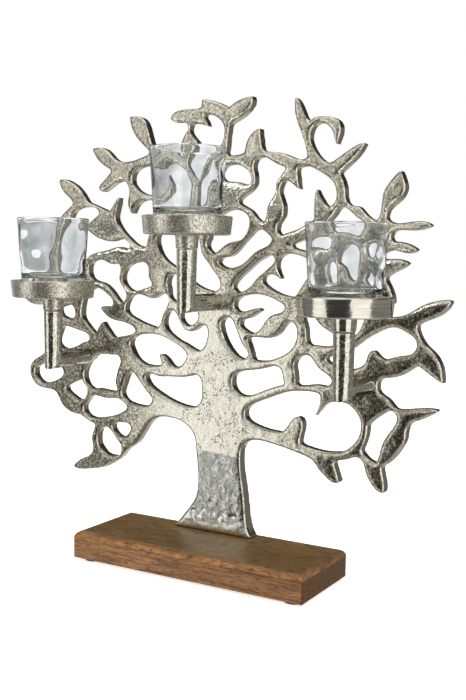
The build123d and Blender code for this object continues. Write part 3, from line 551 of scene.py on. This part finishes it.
def fall_of_front(points, distance):
    """How far back each point of the front lies from the flat CAD face."""
    height = points[:, 2] - BASE_TOP
    reach = np.hypot(points[:, 0] - TREE_X, height - CROWN_HEIGHT)
    leafy = smoothstep(75 * MM, 125 * MM, reach)
    fall = FALL_BOUGHS + (FALL_LEAVES - FALL_BOUGHS) * leafy
    fall = fall * np.clip(1 - distance / FALL_WIDTH, 0, 1) ** 2
    lumps = ripple(points, 7 * MM, 1)
    hammer = ripple(points, 4.5 * MM, 2, octaves=3)
    on_foot = smoothstep(FOOT_HEIGHT, FOOT_HEIGHT - 8 * MM, height)
    on_foot = on_foot * smoothstep(14 * MM, 32 * MM, height)
    skin = SKIN_DEPTH * (1 + lumps) + on_foot * (SKIN_DEPTH + HAMMER_DEPTH * hammer)
    skin = np.clip(skin, 0, None) * smoothstep(0.8 * MM, 2.5 * MM, distance)
    lip = LIP_FLARE * smoothstep(22 * MM, 2 * MM, height)
    return rounding(distance, FRONT_ROUND) + fall + skin - lip


def make_tree():
    """The casting with rounded edges, crowned leaves and an uneven, hammered skin."""
    bm = welded_copy("tree_casting")
    rim = silhouette_points(bm, RIM_STEP)
    rough_mesh = bpy.data.meshes.new("tree_rough")
    bm.to_mesh(rough_mesh)
    bm.free()
    rough_obj = add_object("tree_rough", rough_mesh)
    remesh = rough_obj.modifiers.new("remesh", "REMESH")
    remesh.mode = "VOXEL"
    remesh.voxel_size = TREE_VOXEL
    depsgraph = bpy.context.evaluated_depsgraph_get()
    mesh = bpy.data.meshes.new_from_object(rough_obj.evaluated_get(depsgraph))
    bpy.data.objects.remove(rough_obj)

    points = read_points(mesh)
    distance = distance_to(rim, points)
    taper = np.clip(1 - (points[:, 2] - BASE_TOP) / TAPER_HEIGHT, 0, 1)
    thickness = CROWN_THICKNESS + taper * (FOOT_THICKNESS - CROWN_THICKNESS)
    depth = np.clip((points[:, 1] - TREE_FRONT) / thickness, 0, 1)
    front_fall = fall_of_front(points, distance)
    back_fall = rounding(distance, BACK_ROUND)
    points[:, 1] = TREE_FRONT + front_fall + depth * (thickness - front_fall - back_fall)
    write_points(mesh, points)
    smooth(mesh)

    attribute = mesh.attributes.new("edge_mm", "FLOAT", "POINT")
    attribute.data.foreach_set("value", np.clip(distance / MM, 0, EDGE_LIMIT))
    tree_obj = add_object("cast_tree", mesh)
    relax = tree_obj.modifiers.new("relax", "SMOOTH")
    relax.factor = 0.5
    relax.iterations = 2
    dress(tree_obj, cast_tree_metal())
    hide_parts("tree_casting")
    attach(tree_obj, "holder")


# ---- turned pieces ------------------------------------------------------------------
# A corner is (radius, height, rounding), in millimetres.

DISH_CORNERS = (
    (0.0, 0.3, 0), (9.3, 0.3, 0.4), (9.7, 1.2, 0.3), (10.4, 11.0, 0.6), (11.6, 12.5, 1.0),
    (38.4, 12.6, 1.4), (40.1, 28.9, 1.0), (32.3, 28.9, 0.8), (32.1, 23.1, 1.2), (0.0, 23.0, 0),
)
GLASS_CORNERS = (
    (0.0, 0.6, 0), (24.0, 0.6, 2.0), (26.0, 0.05, 0.6), (29.4, 0.05, 2.4),
    (33.85, 64.95, 1.2), (31.45, 64.95, 1.1), (27.4, 8.6, 5.0), (0.0, 8.0, 0),
)
PROFILE_STEP = 2.0 * MM
LATHE_SEGMENTS = 128
ARC_STEP = 0.25                 # radians
DISH_UNEVENNESS = 0.12 * MM
GLASS_WALL_MIDDLE = 28.2 * MM   # radius of the middle of the wall at the glass's bottom,
GLASS_FLARE = 0.0692            # and how much it grows with height
GLASS_WAVES_INSIDE = 0.85 * MM
GLASS_WAVES_OUTSIDE = 0.12 * MM
GLASS_SLACK = 0.10 * MM         # keeps the outside waves within the CAD wall


def round_corners(corners):
    """Points of a profile whose corners (r, z, radius) are rounded with short arcs."""
    points = []
    for i, (r, z, radius) in enumerate(corners):
        here = Vector((r, z))
        if radius == 0 or i in (0, len(corners) - 1):
            points.append(here)
            continue
        before = Vector(corners[i - 1][:2]) - here
        after = Vector(corners[i + 1][:2]) - here
        turn = math.pi - before.angle(after)
        reach = radius * math.tan(turn / 2)
        start = here + before.normalized() * reach
        end = here + after.normalized() * reach
        middle = (before.normalized() + after.normalized()).normalized()
        centre = here + middle * (radius / math.cos(turn / 2))
        steps = max(2, int(turn / ARC_STEP))
        a, b = start - centre, end - centre
        for k in range(steps + 1):
            t = k / steps
            blend = a * math.sin((1 - t) * turn) + b * math.sin(t * turn)
            points.append(centre + blend / math.sin(turn))
    return points


def divide(points, longest):
    """Adds points along the straight runs so that none is longer than this."""
    out = [points[0]]
    for a, b in zip(points, points[1:]):
        steps = max(1, math.ceil((b - a).length / longest))
        out += [a.lerp(b, k / steps) for k in range(1, steps + 1)]
    return out


def lathe(name, corners, centre):
    """Turns a rounded profile, which starts and ends on the axis, round a vertical axis."""
    profile = round_corners([(r * MM, z * MM, radius * MM) for r, z, radius in corners])
    vertices, faces, rings = [], [], []
    for radius, height in divide(profile, PROFILE_STEP):
        z = centre[2] + height
        if radius < 1e-6:
            rings.append([len(vertices)])
            vertices.append((centre[0], centre[1], z))
            continue
        rings.append([len(vertices) + k for k in range(LATHE_SEGMENTS)])
        for k in range(LATHE_SEGMENTS):
            angle = 2 * math.pi * k / LATHE_SEGMENTS
            vertices.append((centre[0] + radius * math.cos(angle),
                             centre[1] + radius * math.sin(angle), z))
    for low, high in zip(rings, rings[1:]):
        for k in range(LATHE_SEGMENTS):
            n = (k + 1) % LATHE_SEGMENTS
            if len(low) == 1:
                faces.append((low[0], high[n], high[k]))
            elif len(high) == 1:
                faces.append((low[k], low[n], high[0]))
            else:
                faces.append((low[k], low[n], high[n], high[k]))
    mesh = mesh_from(name, vertices, faces)
    smooth(mesh)
    return mesh


def axis_of(node):
    """The point on a round CAD node's vertical axis at its lowest end."""
    low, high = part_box(node)
    return ((low[0] + high[0]) / 2, (low[1] + high[1]) / 2, low[2])


def outward_from(centre, points):
    """Each point's horizontal direction away from a vertical axis, and its distance."""
    outward = points[:, :2] - np.array(centre[:2])
    reach = np.linalg.norm(outward, axis=1)
    return outward / np.maximum(reach, 1e-6)[:, None], reach


def make_dish(place, material):
    """Shallow cast dish with a boss, rounded rims and slightly uneven walls."""
    centre = axis_of("dish_" + place)
    mesh = lathe("cast_dish_" + place, DISH_CORNERS, centre)
    points = read_points(mesh)
    direction, reach = outward_from(centre, points)
    uneven = ripple(points, 12 * MM, 3 + PLACES.index(place)) - 1.0
    on_wall = smoothstep(34 * MM, 37 * MM, reach)
    points[:, :2] += direction * (uneven * DISH_UNEVENNESS * on_wall)[:, None]
    write_points(mesh, points)
    obj = add_object("cast_dish_" + place, mesh)
    dress(obj, material)
    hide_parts("dish_" + place)
    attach(obj, place + "_dish")


def make_glass(place, material):
    """Flared votive glass with a thick bottom and softly wavy walls."""
    centre = axis_of("glass_" + place)
    mesh = lathe("votive_glass_" + place, GLASS_CORNERS, centre)
    points = read_points(mesh)
    height = points[:, 2] - centre[2]
    direction, reach = outward_from(centre, points)
    inside = (reach < GLASS_WALL_MIDDLE + height * GLASS_FLARE) & (height > 7 * MM)
    on_wall = smoothstep(9 * MM, 16 * MM, height) * smoothstep(65 * MM, 58 * MM, height)
    waves = ripple(points, 15 * MM, 11 + PLACES.index(place), octaves=1)
    amount = np.where(inside, GLASS_WAVES_INSIDE * waves,
                      GLASS_WAVES_OUTSIDE * waves - GLASS_SLACK) * on_wall
    points[:, :2] += direction * amount[:, None]
    write_points(mesh, points)
    obj = add_object("votive_glass_" + place, mesh)
    dress(obj, material)
    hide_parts("glass_" + place)
    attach(obj, place + "_glass")


# ---- arms ---------------------------------------------------------------------------

TUBE_RADIUS = 8.0 * MM
CORNER_RADIUS = 8.35 * MM
POST_RADIUS = 9.1 * MM
ARM_REACH = 49 * MM
POST_HEIGHT = 48 * MM
ARM_EDGE = 0.5 * MM
SCREW_HOLE = 2.6 * MM           # radii of the holes in the bar's two ends
STUD_HOLE = 3.0 * MM
ARM_SEGMENTS = 72
TUBE_STEPS = 12
POST_STEPS = 16


def make_arm(place, material):
    """An L of round bar: back end, level tube, mitred corner, post and top end."""
    turn = [2 * math.pi * k / ARM_SEGMENTS for k in range(ARM_SEGMENTS)]
    low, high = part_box("arm_" + place)
    middle = Vector(((low[0] + high[0]) / 2, POST_Y, high[2] - POST_HEIGHT))
    rings = []

    def tube_ring(y, radius):
        rings.append([(radius * math.cos(a), y, radius * math.sin(a)) for a in turn])

    def post_ring(z, radius):
        rings.append([(radius * math.cos(a), radius * math.sin(a), z) for a in turn])

    tube_ring(ARM_REACH, SCREW_HOLE)
    tube_ring(ARM_REACH, TUBE_RADIUS - ARM_EDGE)
    tube_ring(ARM_REACH - ARM_EDGE, TUBE_RADIUS)
    for k in range(1, TUBE_STEPS):
        t = k / TUBE_STEPS
        tube_ring(ARM_REACH * (1 - t) + CORNER_RADIUS * t, TUBE_RADIUS)
    rings.append([(CORNER_RADIUS * math.cos(a), CORNER_RADIUS * math.sin(a),
                   CORNER_RADIUS * math.sin(a)) for a in turn])
    for k in range(1, POST_STEPS):
        t = k / POST_STEPS
        post_ring(CORNER_RADIUS + (POST_HEIGHT - CORNER_RADIUS) * t,
                  CORNER_RADIUS + (POST_RADIUS - CORNER_RADIUS) * t)
    post_ring(POST_HEIGHT - ARM_EDGE, POST_RADIUS)
    post_ring(POST_HEIGHT, POST_RADIUS - ARM_EDGE)
    post_ring(POST_HEIGHT, STUD_HOLE)
    vertices = [middle + Vector(p) for ring in rings for p in ring]
    faces = []
    for i in range(len(rings) - 1):
        a, b = i * ARM_SEGMENTS, (i + 1) * ARM_SEGMENTS
        for k in range(ARM_SEGMENTS):
            n = (k + 1) % ARM_SEGMENTS
            faces.append((a + k, b + k, b + n, a + n))
    mesh = mesh_from("arm_bar_" + place, vertices, faces)
    smooth(mesh)
    obj = add_object("arm_bar_" + place, mesh)
    bevel = obj.modifiers.new("bevel", "BEVEL")
    bevel.width = 0.5 * MM
    bevel.segments = 2
    bevel.limit_method = "ANGLE"
    bevel.angle_limit = math.radians(35)
    dress(obj, material)
    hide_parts("arm_" + place)
    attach(obj, "holder")


# ---- wooden base --------------------------------------------------------------------

BASE_TOP_ROUND = 7 * MM
BASE_SIDE_ROUND = 0.8 * MM
BASE_UNDER_ROUND = 0.9 * MM


def make_base():
    """Wooden block with a hand-sanded round-over along its top."""
    middle = (BASE_HIGH + BASE_LOW) / 2
    bm = bmesh.new()
    bmesh.ops.create_cube(bm, size=1.0)
    bmesh.ops.scale(bm, vec=BASE_HIGH - BASE_LOW, verts=bm.verts)
    bmesh.ops.translate(bm, vec=middle, verts=bm.verts)

    def bevel(edges, offset, segments):
        bmesh.ops.bevel(bm, geom=edges, offset=offset, segments=segments,
                        profile=0.5, affect="EDGES")

    bevel([e for e in bm.edges if all(v.co.z > middle.z for v in e.verts)], BASE_TOP_ROUND, 7)
    bevel([e for e in bm.edges if abs(e.verts[0].co.z - e.verts[1].co.z) > 15 * MM],
          BASE_SIDE_ROUND, 2)
    bevel([e for e in bm.edges if all(v.co.z < BASE_LOW.z + 0.1 * MM for v in e.verts)
           and len(e.link_faces) == 2 and e.calc_face_angle() > 1.0], BASE_UNDER_ROUND, 2)
    mesh = bpy.data.meshes.new("wooden_block")
    bm.to_mesh(mesh)
    bm.free()
    smooth(mesh)
    obj = add_object("wooden_block", mesh)
    normals = obj.modifiers.new("normals", "WEIGHTED_NORMAL")
    normals.keep_sharp = False
    dress(obj, mango_wood())
    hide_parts("wooden_base")
    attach(obj, "holder")


# ---- put the pieces together --------------------------------------------------------

make_tree()
make_base()

cast_dish = cast_dish_metal()
turned_dish = turned_dish_metal()
arm_metal = polished_arm_metal()
glass_material = clear_glass()
for place in PLACES:
    make_arm(place, arm_metal)
    make_dish(place, turned_dish if place == "right" else cast_dish)
    make_glass(place, glass_material)

steel = plated_steel()
for node in ("dish_studs", "arm_screws", "arm_washers", "base_screws", "base_washers"):
    dress_node(node, steel)
rubber = black_rubber()
for node in ("foot_front_left", "foot_front_right", "foot_rear_left", "foot_rear_right"):
    dress_node(node, rubber)


# ---- camera -------------------------------------------------------------------------

YAW = math.radians(30.196)
PITCH = math.radians(5.546)
ROLL = math.radians(0.947)
LENS = 50.65                    # millimetres, on a sensor of this size
SENSOR = 36
CAMERA_AT = Vector((0.46428, -0.75592, BASE_LOW.z + 0.28753))


def make_camera():
    """The photograph's viewing angle, fitted to the base, dishes, glasses and arms."""
    back = Vector((math.sin(YAW) * math.cos(PITCH), -math.cos(YAW) * math.cos(PITCH),
                   math.sin(PITCH)))
    level = Vector((math.cos(YAW), math.sin(YAW), 0))
    up = back.cross(level)
    right = math.cos(ROLL) * level + math.sin(ROLL) * up
    top = -math.sin(ROLL) * level + math.cos(ROLL) * up
    data = bpy.data.cameras.new("camera")
    data.lens = LENS
    data.sensor_width = SENSOR
    data.sensor_height = SENSOR
    data.sensor_fit = "AUTO"
    data.clip_start = 0.01
    camera = add_object("camera", data)
    pose = Matrix((right, top, back)).transposed().to_4x4()
    pose.translation = CAMERA_AT
    camera.matrix_world = pose
    bpy.context.scene.camera = camera


# ---- studio -------------------------------------------------------------------------

FLOOR_HALF_SIZE = 4.0
FLOOR_GLOW = 0.70
FLOOR_PAPER = (0.90, 0.90, 0.90), (0.93, 0.93, 0.93)
STUDIO_TINT = (1.0, 0.995, 0.965)
AMBIENT = 0.04
# Soft panels: azimuth from, to, elevation from, to and soft edge, in degrees as seen from
# the object, and brightness.
PANELS = (
    (-51, -3, -34, 40, 3.0, 1.05),
    (-147, -114, -34, 40, 3.5, 1.0),
    (-110, -98, 1, 30, 4.0, 0.35),
    (-110, -60, 2.5, 45, 5.5, 0.50),
    (-3, 108, -60, 13, 4.0, 0.16),
    (108, 138, -60, 0, 4.0, 0.16),
    (138, 175, -60, 40, 6.0, 0.55),
    (-179, -152, -60, 40, 4.0, 0.14),
    (86, 118, -60, -7, 5.0, 0.40),
    (-180, 180, -75, -36, 4.0, 0.30),
    (-180, 180, 50, 90, 8.0, 0.95),
    (-180, 180, -90, -72, 6.0, 0.40),
)
# Light that comes through the glasses is white along this direction, either way, and falls
# to BENT_LIGHT where a glass has bent it away. The two limits are squared cosines.
BACKDROP_TOWARDS = (-0.37, 0.92, -0.10)
BENT_BELOW, STRAIGHT_ABOVE = 0.84, 0.965
BENT_LIGHT = 0.45
# Soft lights: name, place, aim, size and power.
LIGHTS = (
    ("key", (-1.1, -1.3, 1.2), (0, 0, 0.2), (0.9, 0.9), 14),
    ("fill", (1.5, -0.6, 0.8), (0, 0, 0.2), (1.0, 1.0), 6),
    ("top", (0.0, 0.2, 1.8), (0, 0, 0.1), (1.4, 1.4), 12),
)


def make_floor():
    """A plain pale floor under the feet."""
    half = FLOOR_HALF_SIZE
    z = cad_box[0][2]
    corners = [(-half, -half, z), (half, -half, z), (half, half, z), (-half, half, z)]
    floor = add_object("floor", mesh_from("floor", corners, [(0, 1, 2, 3)]))
    s = Shader("floor")
    paper = s.mix(s.noise(0.3), *FLOOR_PAPER)
    dress(floor, s.finish(Base_Color=paper, Roughness=0.9, Specular_IOR_Level=0.1,
                          Emission_Color=(1, 1, 1, 1), Emission_Strength=FLOOR_GLOW))
    floor.visible_glossy = False


def make_world():
    """A studio of soft panels for the metal to reflect, with a plain white backdrop."""
    world = bpy.data.worlds.new("studio")
    bpy.context.scene.world = world
    world.use_nodes = True
    n = Nodes(world.node_tree)
    towards = n.where.outputs["Generated"]
    split = n.add("ShaderNodeSeparateXYZ")
    n.link(towards, split.inputs["Vector"])
    azimuth = n.math("ARCTAN2", split.outputs["Y"], split.outputs["X"])
    elevation = n.math("ARCSINE", split.outputs["Z"])

    def window(value, low, high, soft):
        low, high, soft = math.radians(low), math.radians(high), math.radians(soft)
        return n.product(n.ramp(value, low - soft, low + soft),
                         n.ramp(value, high + soft, high - soft))

    total = AMBIENT
    for az_from, az_to, el_from, el_to, soft, brightness in PANELS:
        glow = n.product(window(azimuth, az_from, az_to, soft),
                         window(elevation, el_from, el_to, soft), brightness)
        total = n.math("ADD", glow, total)
    studio = n.add("ShaderNodeBackground")
    n.link(total, studio.inputs["Strength"])
    studio.inputs["Color"].default_value = rgba(STUDIO_TINT)

    along = n.add("ShaderNodeVectorMath", operation="DOT_PRODUCT")
    n.link(towards, along.inputs[0])
    along.inputs[1].default_value = Vector(BACKDROP_TOWARDS).normalized()
    facing = n.product(along.outputs["Value"], along.outputs["Value"])
    unbent = n.ramp(facing, BENT_BELOW, STRAIGHT_ABOVE, BENT_LIGHT, 1.0)
    path = n.add("ShaderNodeLightPath")
    seen = path.outputs["Is Camera Ray"]
    backdrop = n.add("ShaderNodeBackground")
    backdrop.inputs["Color"].default_value = (1, 1, 1, 1)
    n.link(n.math("MAXIMUM", seen, unbent), backdrop.inputs["Strength"])

    mix = n.add("ShaderNodeMixShader")
    n.link(n.math("MAXIMUM", seen, path.outputs["Is Transmission Ray"]), mix.inputs["Fac"])
    n.link(studio.outputs["Background"], mix.inputs[1])
    n.link(backdrop.outputs["Background"], mix.inputs[2])
    output = n.add("ShaderNodeOutputWorld")
    n.link(mix.outputs["Shader"], output.inputs["Surface"])


def make_light(name, at, towards, size, power):
    """A soft rectangular light, which the metal doesn't mirror."""
    data = bpy.data.lights.new(name, "AREA")
    data.shape = "RECTANGLE"
    data.size, data.size_y = size
    data.energy = power
    light = add_object(name, data)
    light.location = at
    light.visible_glossy = False
    aim = Vector(towards) - Vector(at)
    light.rotation_euler = aim.to_track_quat("-Z", "Y").to_euler()


make_camera()
make_floor()
make_world()
for light in LIGHTS:
    make_light(*light)
bpy.context.scene.view_settings.view_transform = "Standard"
